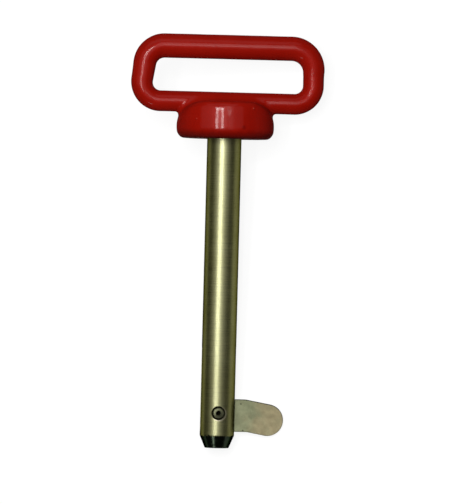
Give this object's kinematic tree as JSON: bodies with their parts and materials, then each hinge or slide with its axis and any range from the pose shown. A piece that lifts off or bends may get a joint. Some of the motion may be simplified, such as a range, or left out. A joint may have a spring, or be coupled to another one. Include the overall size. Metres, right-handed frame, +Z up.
{
  "type": "hitch pin",
  "caption": "Straight hitch pin with a red oblong hand loop on a round collar, a plated steel shank with a tapered tip, and a drop flag that swings in a slot near the tip.",
  "frame": {"origin": "the middle of the pin's bounding box, on the flat floor that the pin lies on", "axes": "the pin lies at rest: +Y along the shank from the tip towards the loop, +X to the side that the flag stands out on, +Z up from the floor. The shank slopes about 6 degrees down to the tip, and the pin is rolled about 14.6 degrees onto the flag"},
  "size_m": [0.104, 0.2288, 0.0551],
  "materials": {
    "red_coating": "smooth glossy red dip coating over a steel forging",
    "plated_bar": "turned steel, bright olive-yellow zinc plate, dark worn tip",
    "cross_pin_steel": "dull plated steel, dark grime in the drilled ends",
    "plated_sheet": "blanked sheet steel, dull mottled zinc plate"
  },
  "bodies": {
    "pin": {"handle": "red_coating", "shank": "plated_bar", "pivot_pin": "cross_pin_steel"},
    "flag": {"lock_flag": "plated_sheet"}
  },
  "joints": [
    {"name": "flag_hinge", "type": "hinge", "parent": "pin", "child": "flag", "pos_m": [-0.00102, -0.0945, 0.01076], "axis": [0.2521, -0.1009, 0.9624], "range_deg": [0, 193]}
  ]
}
